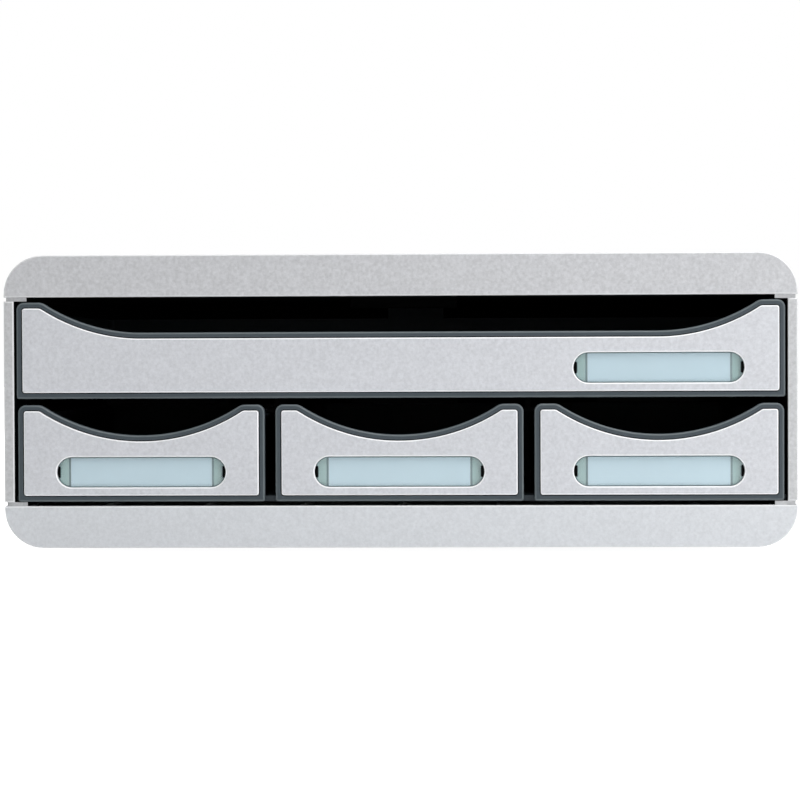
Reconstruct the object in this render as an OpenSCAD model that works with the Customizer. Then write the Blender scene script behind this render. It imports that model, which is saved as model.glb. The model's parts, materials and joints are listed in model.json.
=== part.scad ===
// Desktop drawer unit: one full-width drawer above three small ones. The casing is two ribbed
// covers snapped to a pair of side panels, with a back panel, three plates that the drawers run
// on or under, and two dividers. X runs across the front, Y from the front to the back and
// Z upwards. The origin is the middle of the footprint, at the level of the surface it stands on.

/* [Casing] */
// Width over the two side panels
case_w = 355; // [320:1:400]
// Depth from the covers' front edges to their back edges
case_d = 270; // [245:1:320]
// Height of each cover
cover_h = 18.8; // [18:0.1:26]
// Radius of the covers' long outer edges
corner_r = 17.5; // [8:0.5:17.5]
// Wall thickness of the covers
cover_wall = 2.4; // [1.8:0.1:3]
// Thickness of the stiffening ribs inside the covers
cover_rib = 1.6; // [1.2:0.1:2.4]
// Distance between the covers' cross ribs, at most
cover_rib_pitch = 48; // [30:1:80]

/* [Side panels] */
// Thickness of the side panels at their posts and bands
side_t = 4.5; // [4.4:0.1:6]
// Thickness of the side panels' outer skin
skin_t = 2.4; // [1.8:0.1:2.8]
// Depth of the front and back posts
post_d = 14; // [12:0.5:20]
// Height of the top and bottom bands
band_h = 6; // [4:0.5:9]
// Thickness of the flanges under and over the covers
flange_t = 1.8; // [1.4:0.1:2.6]
// Distance from the casing's outer face to the inner edge of a flange
flange_reach = 10.2; // [9.8:0.1:14]
// Distance that a flange's outer end stays back from the outer face
flange_setback = 1; // [0:0.1:1.4]
// Thickness of the ledges, runner ribs and stiffening ribs of the side panels
ledge_t = 2; // [1.5:0.1:2.4]
// Length of a snap tongue
tongue_l = 24; // [14:1:40]
// Thickness of a snap tongue
tongue_t = 1.8; // [1.4:0.1:2]
// Height of a snap tongue above its flange
tongue_h = 6; // [5:0.1:6.4]
// Distance between neighbouring snap tongues
tongue_pitch = 90; // [60:1:100]

/* [Plates and dividers] */
// Thickness of the floor plate, the middle shelf and the ceiling plate
plate_t = 2.4; // [1.8:0.1:3]
// Distance that the plates' front edges stay behind the casing's front
plate_setback = 6; // [5:0.5:12]
// Thickness of the back panel
back_t = 2.4; // [1.6:0.1:3]
// Distance from the casing's back to the back panel's outer face
back_setback = 2.4; // [1.6:0.1:6]
// Thickness of the dividers
divider_t = 2.2; // [1.6:0.1:3]
// Distance from the casing's front to the dividers' front edges
divider_setback = 40; // [20:1:80]
// Length of a divider's tab
tab_l = 20; // [10:1:40]
// Thickness of the anti-tilt rails over the trays' lips
rail_t = 1.8; // [1.4:0.1:2.4]
// Distance that an anti-tilt rail reaches over a tray's lip
rail_overlap = 1.1; // [0.8:0.1:1.6]

/* [Drawer fronts] */
// Height of the wide drawer's front
wide_front_h = 43.6; // [38:0.2:70]
// Height of the small drawers' fronts
small_front_h = 43.4; // [38:0.2:70]
// Gap between a side panel and the wide drawer's front
wide_side_gap = 1; // [0.5:0.1:2]
// Gap between a side panel and a small drawer's front
small_side_gap = 1.5; // [0.8:0.1:2.4]
// Gap between the fronts of neighbouring small drawers
front_gap = 4.7; // [4.2:0.1:8]
// Gap between the two rows of fronts
row_gap = 2.8; // [2:0.1:5]
// Thickness of a front, from its rim to its inner face
front_t = 4.2; // [3.8:0.1:6]
// Width of the dark rim at the sides and the bottom
rim = 2.3; // [1.5:0.1:4]
// Width of the dark rim at the top and round the scoop
rim_top = 2.7; // [1.8:0.1:3.6]
// Radius of a front's upper outer corners
front_corner_r = 3.5; // [2.9:0.1:4.5]
// Radius of a front's lower outer corners
front_foot_r = 1; // [0.6:0.1:3]
// Depth of the scoop below the top edge
scoop_depth = 13.7; // [8:0.1:16]
// Width of the flat top beside a small drawer's scoop
small_ear = 10.5; // [9:0.5:20]
// Width of the flat top beside the wide drawer's scoop
wide_ear = 11.5; // [9:0.5:30]
// Radius that eases the scoop into the flat top
scoop_ease = 5; // [4.2:0.1:8]

/* [Facings and labels] */
// Thickness of a facing
facing_t = 2.6; // [2.4:0.1:3]
// Distance that a facing stands proud of the rim
facing_proud = 0.4; // [0:0.1:0.6]
// Gap between a facing and the rim round it
facing_gap = 0.3; // [0.1:0.05:0.4]
// Radius of a facing's outer corners
facing_r = 1.5; // [0.5:0.1:3]
// Length of a label pocket
label_l = 76; // [60:1:80]
// Height of a label pocket
label_h = 13.6; // [10:0.2:18]
// Height of a label pocket's middle line above the front's lower edge
label_z = 13.2; // [11.5:0.1:15]
// Distance from the wide drawer's right edge to the middle of its label
wide_label_x = 56.2; // [48:0.2:150]
// Depth of a label pocket
label_depth = 1.8; // [1.5:0.1:2]
// Thickness of a clear label window
window_t = 1; // [0.8:0.1:1.2]
// Distance that a label card reaches into each round end of its pocket
card_reach = 0.5; // [0:0.1:1.2]
// Clearance between the ends of a label card and of the window's recess for it
card_clear = 0.9; // [0.4:0.1:2]
// Thickness of a label card
card_t = 0.3; // [0.2:0.05:0.4]
// Height of the finger notch at each tip of a label window
notch_h = 5.2; // [3:0.1:8]
// Depth of the finger notch
notch_d = 1.6; // [1:0.1:3]

/* [Trays] */
// Wall thickness of a tray's sides and back
tray_wall = 1.8; // [1.4:0.1:2.4]
// Thickness of a tray's floor
tray_floor = 1.8; // [1.4:0.1:2.4]
// Distance from a front's edge to the tray's side wall
tray_inset = 3; // [2.8:0.1:4]
// Width of the lip round the top of a tray
lip_w = 1.9; // [1.5:0.1:2.2]
// Thickness of the lip
lip_t = 1.6; // [1.2:0.1:2.4]
// Distance from a front's top edge down to the lip
lip_drop = 4.6; // [4.4:0.1:9]
// Radius of a tray's back corners
tray_corner_r = 5; // [3:0.5:12]
// Height of the skids under a tray
skid_h = 0.8; // [0.4:0.1:1.2]
// Width of a skid
skid_w = 3; // [2:0.5:6]
// How far a drawer pulls out to its stop
travel = 190; // [120:1:200]
// Width of the stop catch on a tray's back wall
catch_w = 30; // [16:1:60]
// Overlap of the catch and the stop rib
catch_hold = 2.8; // [1.5:0.1:3]

/* [Feet] */
// Height of the feet below the bottom cover
foot_h = 3.6; // [2:0.1:8]
// Radius of a foot
foot_r = 7; // [5:0.5:12]
// Radius that rounds a foot's lower edge
foot_round = 1.2; // [0.4:0.1:1.8]
// Depth of the recess that a foot sits in
foot_seat = 0.8; // [0.4:0.1:1.2]
// Distance from the casing's side to a foot's middle
foot_x = 40; // [28:1:80]
// Distance from the casing's front or back to a foot's middle
foot_y = 64; // [30:1:90]

/* [Clearances] */
// Clearance between a tray and what it runs on or under
run_clear = 0.2; // [0.15:0.05:0.3]
// Clearance of the joints that are pushed together once
fit_clear = 0.2; // [0.1:0.05:0.3]

/* [Hidden] */
$fn = 64;

light_grey = [0.78, 0.79, 0.81];
slate = [0.28, 0.31, 0.32];
black = [0.08, 0.08, 0.09];
card_blue = [0.76, 0.84, 0.88];
clear_green = [0.62, 0.74, 0.74, 0.6];

// Levels, from the surface upwards
bottom_cover_top = foot_h + cover_h;
web_bottom = bottom_cover_top + flange_t;
small_front_z = web_bottom + run_clear;
small_front_top = small_front_z + small_front_h;
wide_front_z = small_front_top + row_gap;
wide_front_top = wide_front_z + wide_front_h;
web_top = wide_front_top + run_clear;
top_cover_z = web_top + flange_t;
floor_z = web_bottom;
shelf_z = wide_front_z + 2 * run_clear;
shelf_top = shelf_z + plate_t;

// Places along Y
front_y = -case_d / 2;
back_y = case_d / 2;
rim_y = front_y + facing_proud;
recess_y = front_y + facing_t;
inner_front_y = rim_y + front_t;
plate_front_y = front_y + plate_setback;
panel_back_y = back_y - back_setback;
panel_front_y = panel_back_y - back_t;
plate_back_y = panel_front_y - fit_clear;
tray_back_clear = 1.4;
tray_back_y = plate_back_y - tray_back_clear - lip_w;
divider_front_y = front_y + divider_setback;

// Places along X
side_x = case_w / 2;
skin_x = side_x - skin_t;
inner_x = side_x - side_t;
wide_w = 2 * (inner_x - wide_side_gap);
small_w = (2 * (inner_x - small_side_gap) - 2 * front_gap) / 3;
small_pitch = small_w + front_gap;
divider_x = small_pitch / 2;
lip_hold = tray_inset - lip_w + rail_overlap;
wide_rail_reach = wide_side_gap + lip_hold;
small_rail_reach = small_side_gap + lip_hold;
divider_rail_reach = front_gap / 2 + lip_hold;

// The covers' long edges, the snap tongues and the catch rails that the tongues hook
cover_upright = 1.3;
edge_r = min(corner_r, cover_h - cover_upright);
tongue_bend = 1.1;
tongue_x = side_x - cover_wall - tongue_bend - tongue_t;
rail_gap = 0.4;
catch_rail_x = tongue_x - rail_gap - cover_rib;
nose_z = 2.2;
nose_h = 1.8;
tongue_count = 3;

// The scoop: one radius for the ends of both widths of scoop
scoop_half = small_w / 2 - small_ear;
scoop_r = (scoop_half * scoop_half + scoop_depth * scoop_depth) / (2 * scoop_depth);
wide_flat = wide_w - 2 * (wide_ear + scoop_half);

ease_bite = 0.002;

// Distance that a cutting shape reaches past the face that it cuts
past = 1;

// The trays' lips, rails, catches and stops
small_lip_top = small_front_top - lip_drop;
wide_lip_top = wide_front_top - lip_drop;
small_rail_z = small_lip_top + 2 * run_clear;
wide_rail_z = wide_lip_top + 2 * run_clear;
catch_clear = 1.4;
stop_back_y = tray_back_y - tray_wall - travel - run_clear;
stop_t = 2;
stop_extra = 10;
gusset_h = 4;

// The label pocket's layers, from the front backwards
pocket_y = front_y + label_depth;
card_y = pocket_y - card_t;
window_y = card_y - window_t;
card_l = label_l - label_h + 2 * card_reach;

// A box between two values on each axis
module span(x, y, z) {
    translate([x[0], y[0], z[0]]) cube([x[1] - x[0], y[1] - y[0], z[1] - z[0]]);
}

// An outline drawn in X and Z, made solid from one place along Y backwards
module slab(y, thick) {
    translate([0, y + thick, 0]) rotate([90, 0, 0]) linear_extrude(thick) children();
}

// Copies on the left and on the right
module both_sides() {
    children();
    mirror([1, 0, 0]) children();
}

// Section of a cover, with its two upper corners rounded. The base can be raised or lowered.
module cover_section(inset, base) {
    half = side_x - inset;
    r = edge_r - inset;
    corner_z = cover_h - edge_r;
    for (side = [0, 1]) mirror([side, 0]) {
        translate([0, base]) square([half, corner_z - base]);
        translate([0, base]) square([half - r, cover_h - inset - base]);
        translate([half - r, corner_z]) intersection() {
            circle(r);
            square(r);
        }
    }
}

// A cover standing on its open side: shell, ribs and the catch rails for the snap tongues.
// The ribs stop at rib_base, to leave room for a plate let into the opening.
module cover(rib_base) {
    rib_count = ceil(case_w / cover_rib_pitch) - 1;
    rib_step = case_w / (rib_count + 1);
    difference() {
        slab(front_y, case_d) cover_section(0, 0);
        slab(front_y + cover_wall, case_d - 2 * cover_wall) cover_section(cover_wall, -past);
    }
    intersection() {
        slab(front_y + cover_wall / 2, case_d - cover_wall) cover_section(cover_wall / 2, 0);
        union() {
            for (i = [1:rib_count]) {
                x = i * rib_step - case_w / 2;
                if (abs(x) < catch_rail_x - cover_rib)
                    span([x - cover_rib / 2, x + cover_rib / 2], [front_y, back_y], [rib_base, cover_h]);
            }
            for (y = [-tongue_pitch / 2, tongue_pitch / 2])
                span([-catch_rail_x, catch_rail_x], [y - cover_rib / 2, y + cover_rib / 2],
                     [rib_base, cover_h]);
        }
    }
    intersection() {
        slab(front_y + cover_wall / 2, case_d - cover_wall) cover_section(cover_wall / 2, 0);
        both_sides() catch_rail();
    }
}

// Rail along a cover's side, with a window for each snap tongue's nose
module catch_rail() {
    difference() {
        span([catch_rail_x, catch_rail_x + cover_rib], [front_y, back_y], [0, cover_h]);
        for (y = tongue_places())
            span([catch_rail_x - past, catch_rail_x + cover_rib + past],
                 [y - tongue_l / 2 - fit_clear, y + tongue_l / 2 + fit_clear],
                 [nose_z - fit_clear, nose_z + nose_h + 2 * fit_clear]);
    }
}

function tongue_places() = [for (i = [0:tongue_count - 1]) (i - (tongue_count - 1) / 2) * tongue_pitch];

module top_cover() {
    color(light_grey) translate([0, 0, top_cover_z]) cover(plate_t);
}

module bottom_cover() {
    color(light_grey) difference() {
        translate([0, 0, bottom_cover_top]) mirror([0, 0, 1]) cover(0);
        for (x = [-1, 1], y = [-1, 1])
            translate([x * (side_x - foot_x), y * (case_d / 2 - foot_y), foot_h - past])
                cylinder(r = foot_r + fit_clear, h = past + foot_seat);
    }
}

// Three snap tongues with their noses, standing on the level of a flange's outer face
module tongues() {
    for (y = tongue_places()) {
        span([tongue_x, tongue_x + tongue_t], [y - tongue_l / 2, y + tongue_l / 2], [0, tongue_h]);
        translate([tongue_x, y + tongue_l / 2, nose_z]) rotate([90, 0, 0]) linear_extrude(tongue_l)
            polygon([[0, 0], [0, nose_h], [-rail_gap - cover_rib / 2, 0]]);
    }
}

// The right-hand side panel: skin, posts, bands, ledges for the shelf, runner ribs, anti-tilt
// rails, and the flanges and tongues that the covers snap onto
module side_panel() {
    shelf_ledges = [shelf_z - ledge_t, shelf_top + ledge_t];
    runner_levels = [(floor_z + shelf_z) / 2, (shelf_top + web_top) / 2];
    difference() {
        union() {
            span([skin_x, side_x], [front_y, back_y], [web_bottom, web_top]);
            for (y = [front_y, back_y - post_d])
                span([inner_x, side_x], [y, y + post_d], [web_bottom, web_top]);
            for (z = [web_bottom, web_top - band_h])
                span([inner_x, side_x], [front_y, back_y], [z, z + band_h]);
            span([inner_x, side_x], [front_y, back_y], shelf_ledges);
            for (z = runner_levels)
                span([inner_x, side_x], [front_y, back_y], [z - ledge_t / 2, z + ledge_t / 2]);
            for (y = [-tongue_pitch, -tongue_pitch / 3, tongue_pitch / 3, tongue_pitch])
                span([inner_x, side_x], [y - ledge_t / 2, y + ledge_t / 2], [web_bottom, web_top]);
            for (rail = [[small_rail_z, small_rail_reach], [wide_rail_z, wide_rail_reach]])
                span([inner_x - rail[1], side_x], [front_y + post_d, plate_back_y],
                     [rail[0], rail[0] + rail_t]);
        }
        // Grooves for the back panel and the middle shelf
        span([inner_x - small_rail_reach - past, skin_x],
             [panel_front_y - fit_clear / 2, panel_back_y + fit_clear / 2],
             [web_bottom - past, web_top + past]);
        span([inner_x - past, skin_x], [plate_front_y - fit_clear, panel_front_y],
             [shelf_z, shelf_top + fit_clear / 2]);
    }
    for (z = [web_bottom - flange_t, web_top])
        span([side_x - flange_reach, side_x - flange_setback], [front_y, back_y], [z, z + flange_t]);
    translate([0, 0, web_top + flange_t]) tongues();
    translate([0, 0, web_bottom - flange_t]) mirror([0, 0, 1]) tongues();
}

module right_side_panel() {
    color(light_grey) side_panel();
}

module left_side_panel() {
    color(light_grey) mirror([1, 0, 0]) side_panel();
}

// Back panel in the side panels' grooves. Its middle fills the gap that the flanges leave between
// the two covers, and upright ribs stiffen its outer face.
module back_panel() {
    half = skin_x - fit_clear;
    middle_half = side_x - flange_reach - fit_clear;
    rib_depth = back_setback / 2;
    color(black) {
        span([-half, half], [panel_front_y, panel_back_y],
             [web_bottom + fit_clear / 2, web_top - fit_clear / 2]);
        span([-middle_half, middle_half], [panel_front_y, panel_back_y],
             [bottom_cover_top + fit_clear / 2, top_cover_z - fit_clear / 2]);
        for (i = [-2:2])
            span([i * divider_x - ledge_t / 2, i * divider_x + ledge_t / 2],
                 [panel_front_y, panel_back_y + rib_depth], [web_bottom + band_h, web_top - band_h]);
    }
}

// Stop rib that a tray's catch meets at the end of its travel, hanging from a plate
module stop_rib(x, plate_z) {
    drop = catch_clear + catch_hold;
    span([x - catch_w / 2 - stop_extra, x + catch_w / 2 + stop_extra],
         [stop_back_y - stop_t, stop_back_y], [plate_z - drop, plate_z + plate_t / 2]);
}

module ceiling_plate() {
    half = catch_rail_x - fit_clear;
    end_y = case_d / 2 - cover_wall - fit_clear;
    color(black) {
        span([-half, half], [-end_y, end_y], [top_cover_z, top_cover_z + plate_t]);
        stop_rib(0, top_cover_z);
    }
}

// Slots in a plate for the tabs of both dividers
module divider_slots(z) {
    half_slot = divider_t / 2 + fit_clear / 2;
    for (side = [-1, 1], y = tab_places())
        span([side * divider_x - half_slot, side * divider_x + half_slot],
             [y - tab_l / 2 - fit_clear, y + tab_l / 2 + fit_clear], [z - past, z + plate_t + past]);
}

// The dividers' tabs, and the floor plate's bearing ribs, each half a step in front of a tab
tab_step = 0.35 * (plate_back_y - divider_front_y);
function tab_places() = [for (i = [-1:1]) (divider_front_y + plate_back_y) / 2 + i * tab_step];
function bearing_places() = [for (y = tab_places()) y - tab_step / 2];

module middle_shelf() {
    half = skin_x - fit_clear;
    color(black) {
        difference() {
            span([-half, half], [plate_front_y, plate_back_y], [shelf_z, shelf_top]);
            divider_slots(shelf_z);
        }
        for (i = [-1:1]) stop_rib(i * small_pitch, shelf_z);
    }
}

// Floor plate on the flanges, with bearing ribs under it that stand on the bottom cover's ribs
module floor_plate() {
    half = inner_x - fit_clear;
    bearing_half = side_x - flange_reach - fit_clear;
    color(slate) {
        difference() {
            span([-half, half], [plate_front_y, plate_back_y], [floor_z, floor_z + plate_t]);
            divider_slots(floor_z);
        }
        for (y = bearing_places())
            span([-bearing_half, bearing_half], [y - cover_rib, y + cover_rib],
                 [bottom_cover_top, floor_z + plate_t / 2]);
    }
}

// Upright divider with tabs into the floor plate and the shelf, and a rail over each tray's lip
module divider(x) {
    tab_depth = plate_t - fit_clear * 2;
    color(black) translate([x, 0, 0]) {
        span([-divider_t / 2, divider_t / 2], [divider_front_y, plate_back_y], [floor_z + plate_t, shelf_z]);
        for (y = tab_places())
            span([-divider_t / 2, divider_t / 2], [y - tab_l / 2, y + tab_l / 2],
                 [floor_z + plate_t - tab_depth, shelf_z + tab_depth]);
        span([-divider_rail_reach, divider_rail_reach], [divider_front_y, plate_back_y],
             [small_rail_z, small_rail_z + rail_t]);
    }
}

module left_divider() {
    divider(-divider_x);
}

module right_divider() {
    divider(divider_x);
}

// Rubber foot in its recess, with a rounded lower edge
module foot(side, end) {
    round_r = min(foot_round, foot_h / 2);
    color(slate) translate([side * (side_x - foot_x), end * (case_d / 2 - foot_y), 0])
        rotate_extrude() {
            square([foot_r - round_r, foot_h + foot_seat]);
            translate([0, round_r]) square([foot_r, foot_h + foot_seat - round_r]);
            translate([foot_r - round_r, round_r]) intersection() {
                circle(round_r);
                translate([0, -round_r]) square(round_r);
            }
        }
}

// Outline of a front above its lower edge, with rounded corners and no scoop
module front_blank(w, h, r_top, r_foot) {
    half = w / 2;
    for (side = [0, 1]) mirror([side, 0]) {
        translate([0, r_foot]) square([half, h - r_top - r_foot]);
        square([half - r_foot, h]);
        translate([0, h / 2]) square([half - r_top, h / 2]);
        translate([half - r_foot, r_foot]) intersection() {
            circle(r_foot);
            translate([0, -r_foot]) square(r_foot);
        }
        translate([half - r_top, h - r_top]) intersection() {
            circle(r_top);
            square(r_top);
        }
    }
}

// Space of the scoop, grown by inset all round. The radii that ease it into the flat top keep
// their middles, so every inset runs parallel to the rim's edge. They cut into the scoop's own
// circle by a trace, ease_bite, so that the two arcs cross cleanly instead of only touching.
module scoop_space(h, flat, inset) {
    r = scoop_r + inset;
    arc_z = h - scoop_depth + scoop_r;
    reach = scoop_r + scoop_ease - ease_bite;
    ease_z = h - scoop_ease;
    ease_x = sqrt(reach * reach - (arc_z - ease_z) * (arc_z - ease_z));
    share = (r - 10 * ease_bite) / reach;
    meet = [ease_x * share, arc_z + (ease_z - arc_z) * share];
    for (side = [0, 1]) mirror([side, 0]) translate([flat / 2, 0]) {
        translate([0, arc_z]) circle(r, $fn = 256);
        difference() {
            polygon([[0, meet[1]], meet, [ease_x, ease_z], [ease_x, h + past], [0, h + past]]);
            translate([ease_x, ease_z]) circle(scoop_ease - inset);
        }
    }
    if (flat > 0) translate([-flat / 2, h - scoop_depth - inset]) square([flat, h]);
}

// Outline of the recess in a front, or of the facing in it, which is smaller by gap all round
module facing_outline(w, h, flat, gap) {
    difference() {
        translate([0, rim + gap])
            front_blank(w - 2 * (rim + gap), h - rim - rim_top - 2 * gap, facing_r, facing_r);
        scoop_space(h, flat, rim_top + gap);
    }
}

// Plan of a tray from a place along Y to its back, with rounded back corners
module tray_plan(half, front, back, r) {
    for (side = [0, 1]) mirror([side, 0]) {
        translate([0, front]) square([half, back - r - front]);
        translate([0, front]) square([half - r, back - front]);
        translate([half - r, back - r]) intersection() {
            circle(r);
            square(r);
        }
    }
}

// A tray moulded in one with its rimmed front, round x = 0. z is the level of the front's lower
// edge, run_z the plate that the tray runs on and stop_z the underside of the plate above it.
module tray(w, h, z, flat, run_z, stop_z) {
    half = w / 2 - tray_inset;
    lip_top = z + h - lip_drop;
    base = run_z + run_clear + skid_h;
    root_y = (recess_y + inner_front_y) / 2;
    color(slate) {
        difference() {
            union() {
                translate([0, 0, z]) slab(rim_y, front_t) front_blank(w, h, front_corner_r, front_foot_r);
                translate([0, 0, base]) linear_extrude(lip_top - base)
                    tray_plan(half, root_y, tray_back_y, tray_corner_r);
                translate([0, 0, lip_top - lip_t]) linear_extrude(lip_t)
                    tray_plan(half + lip_w, root_y, tray_back_y + lip_w, tray_corner_r + lip_w);
            }
            translate([0, 0, base + tray_floor]) linear_extrude(h)
                tray_plan(half - tray_wall, inner_front_y, tray_back_y - tray_wall,
                          tray_corner_r - tray_wall);
            translate([0, 0, z]) slab(rim_y - past, front_t + 2 * past) scoop_space(h, flat, 0);
            translate([0, 0, z]) slab(rim_y - past, recess_y - rim_y + past) facing_outline(w, h, flat, 0);
        }
        skids(half, base);
        catch(lip_top, stop_z - catch_clear);
    }
}

// Skids along a tray's underside, in pairs no further apart than a small tray is wide
module skids(half, base) {
    pairs = ceil(2 * half / small_w);
    for (i = [0:pairs - 1], side = [-1, 1]) {
        x = side * (half - tray_corner_r - skid_w) * (1 - i * 2 / (2 * pairs - 1));
        span([x - skid_w / 2, x + skid_w / 2], [inner_front_y + skid_w, tray_back_y - tray_corner_r],
             [base - skid_h, base + tray_floor / 2]);
    }
}

// Stop catch on a tray's back wall, with two gussets down to the lip
module catch(lip_top, top) {
    span([-catch_w / 2, catch_w / 2], [tray_back_y - tray_wall, tray_back_y], [lip_top - lip_t, top]);
    for (x = [-catch_w / 4, catch_w / 4])
        translate([x - lip_t / 2, tray_back_y, lip_top]) rotate([90, 0, 90]) linear_extrude(lip_t)
            polygon([[-tray_wall / 2, -lip_t / 2], [lip_w * 0.8, -lip_t / 2], [lip_w * 0.8, 0], [0, gusset_h],
                     [-tray_wall / 2, gusset_h]]);
}

// Outline with full-round ends
module stadium(length, height) {
    square([length - height, height], center = true);
    for (side = [-1, 1]) translate([side * (length - height) / 2, 0]) circle(height / 2);
}

// The two places at a label's tips where a fingertip gets behind the window
module notches(length) {
    for (side = [-1, 1]) translate([side * (length - notch_d + past) / 2, 0])
        square([notch_d + past, notch_h], center = true);
}

// Light facing with its label pocket, round x = 0
module facing(w, h, z, flat, label_x) {
    color(light_grey) translate([0, 0, z]) difference() {
        slab(front_y, facing_t) facing_outline(w, h, flat, facing_gap);
        translate([label_x, 0, label_z]) {
            slab(front_y - past, label_depth + past) stadium(label_l, label_h);
            slab(front_y, facing_t + past) intersection() {
                stadium(label_l, label_h);
                notches(label_l);
            }
        }
    }
}

// Card in the label pocket
module label_card(z, label_x) {
    color(card_blue) translate([label_x, 0, z + label_z])
        slab(card_y, card_t) square([card_l, label_h - 2 * fit_clear], center = true);
}

// Clear window, cut away at its tips, with a shallow recess behind it that the card lies in
module label_window(z, label_x) {
    color(clear_green) translate([label_x, 0, z + label_z]) difference() {
        slab(window_y, window_t + card_t) difference() {
            stadium(label_l - 2 * fit_clear, label_h - 2 * fit_clear);
            notches(label_l);
        }
        slab(card_y, card_t + past) square([card_l + 2 * card_clear, label_h], center = true);
    }
}

// The wide drawer's pieces
wide_label = wide_w / 2 - wide_label_x;

module wide_tray() {
    tray(wide_w, wide_front_h, wide_front_z, wide_flat, shelf_top, top_cover_z);
}

module wide_facing() {
    facing(wide_w, wide_front_h, wide_front_z, wide_flat, wide_label);
}

module wide_label_card() {
    label_card(wide_front_z, wide_label);
}

module wide_label_window() {
    label_window(wide_front_z, wide_label);
}

// The small drawers' pieces, at place -1, 0 or 1 across the casing
module small_tray(place) {
    translate([place * small_pitch, 0, 0])
        tray(small_w, small_front_h, small_front_z, 0, floor_z + plate_t, shelf_z);
}

module small_facing(place) {
    translate([place * small_pitch, 0, 0]) facing(small_w, small_front_h, small_front_z, 0, 0);
}

module small_label_card(place) {
    label_card(small_front_z, place * small_pitch);
}

module small_label_window(place) {
    label_window(small_front_z, place * small_pitch);
}

top_cover();
bottom_cover();
left_side_panel();
right_side_panel();
back_panel();
ceiling_plate();
middle_shelf();
floor_plate();
left_divider();
right_divider();
foot(-1, -1);  // front_left_foot
foot(1, -1);  // front_right_foot
foot(-1, 1);  // back_left_foot
foot(1, 1);  // back_right_foot
wide_tray();
wide_facing();
wide_label_card();
wide_label_window();
small_tray(-1);  // left_tray
small_facing(-1);  // left_facing
small_label_card(-1);  // left_label_card
small_label_window(-1);  // left_label_window
small_tray(0);  // middle_tray
small_facing(0);  // middle_facing
small_label_card(0);  // middle_label_card
small_label_window(0);  // middle_label_window
small_tray(1);  // right_tray
small_facing(1);  // right_facing
small_label_card(1);  // right_label_card
small_label_window(1);  // right_label_window
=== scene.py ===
"""Dresses a desktop unit of one wide drawer above three small ones.

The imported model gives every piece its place. The casing's mouldings are the model's own solids with
their edges rounded. The drawers, their facings, labels and feet are modelled here from primitives.
All lengths are in metres, and X runs across the front, Y backwards and Z upwards.
"""

import contextlib
import json
import math

import bmesh
import bpy
from bpy.props import FloatProperty, FloatVectorProperty, PointerProperty
from mathutils import Matrix, Vector

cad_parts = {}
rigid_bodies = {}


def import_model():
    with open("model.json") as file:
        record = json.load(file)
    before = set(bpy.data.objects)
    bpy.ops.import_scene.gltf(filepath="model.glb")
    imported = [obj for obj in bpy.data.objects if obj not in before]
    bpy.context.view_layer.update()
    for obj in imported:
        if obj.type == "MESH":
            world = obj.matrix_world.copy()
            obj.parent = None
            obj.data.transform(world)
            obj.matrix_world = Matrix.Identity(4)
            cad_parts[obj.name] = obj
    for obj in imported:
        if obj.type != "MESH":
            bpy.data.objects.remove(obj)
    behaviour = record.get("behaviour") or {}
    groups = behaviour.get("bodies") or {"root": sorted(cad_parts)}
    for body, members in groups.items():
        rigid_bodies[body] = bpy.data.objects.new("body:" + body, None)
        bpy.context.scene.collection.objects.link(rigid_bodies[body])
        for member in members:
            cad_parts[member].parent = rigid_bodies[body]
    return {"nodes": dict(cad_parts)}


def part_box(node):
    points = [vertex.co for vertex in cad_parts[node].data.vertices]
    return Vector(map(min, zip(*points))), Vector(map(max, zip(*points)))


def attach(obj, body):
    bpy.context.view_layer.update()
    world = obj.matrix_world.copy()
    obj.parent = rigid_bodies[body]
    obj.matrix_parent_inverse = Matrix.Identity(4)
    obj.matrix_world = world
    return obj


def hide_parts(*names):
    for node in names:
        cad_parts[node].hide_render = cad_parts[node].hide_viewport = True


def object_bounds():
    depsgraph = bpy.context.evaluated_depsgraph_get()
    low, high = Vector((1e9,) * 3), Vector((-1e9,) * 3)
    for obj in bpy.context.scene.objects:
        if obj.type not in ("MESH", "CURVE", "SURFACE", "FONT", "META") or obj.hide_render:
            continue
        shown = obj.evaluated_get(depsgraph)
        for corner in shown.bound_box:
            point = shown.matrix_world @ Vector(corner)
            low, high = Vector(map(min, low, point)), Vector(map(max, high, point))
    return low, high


bl_info = {
    "name": "Desktop Mini Drawers",
    "version": (1, 0, 0),
    "blender": (4, 5, 0),
    "location": "View3D > Sidebar > Drawers",
    "description": "Models and dresses a desktop unit with four scooped drawers",
    "category": "Add Mesh",
}

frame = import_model()
cad_low, cad_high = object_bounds()

MM = 0.001
HOUSING = "housing"
DRAWERS = ("wide", "left", "middle", "right")

# Distances for modelling: within which places are the same, within which a solid's vertices are
# merged, that a tool cuts past a piece or a scoop, and that joined solids' faces are kept apart
NEAR = 0.02 * MM
MERGE = 0.001 * MM
OVERCUT = 0.5 * MM
SCOOP_OVERCUT = 0.2 * MM
APART = 0.1 * MM

# Longest step along a scoop
ARC_STEP = 2 * MM

# Least part of an edge or a normal that lies along an axis, of a normal that looks roughly along
# one, and of a normal on a window's flat sides
ALONG = 0.999
LOOKS = 0.9
FLAT_SIDE = 0.97

# Angles between faces that are flat enough to join, smooth enough to shade as one, and sharp
FLAT_ANGLE, SMOOTH_ANGLE, SHARP_ANGLE = (math.radians(angle) for angle in (0.2, 40, 50))

# The camera's place, its turns in radians and its focal length in millimetres
CAMERA_PLACE = (0.0428, -1.335, 0.091)
CAMERA_YAW, CAMERA_PITCH, CAMERA_ROLL = 0.0353, 0.0178, 0.0040
CAMERA_LENS = 120.97

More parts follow.
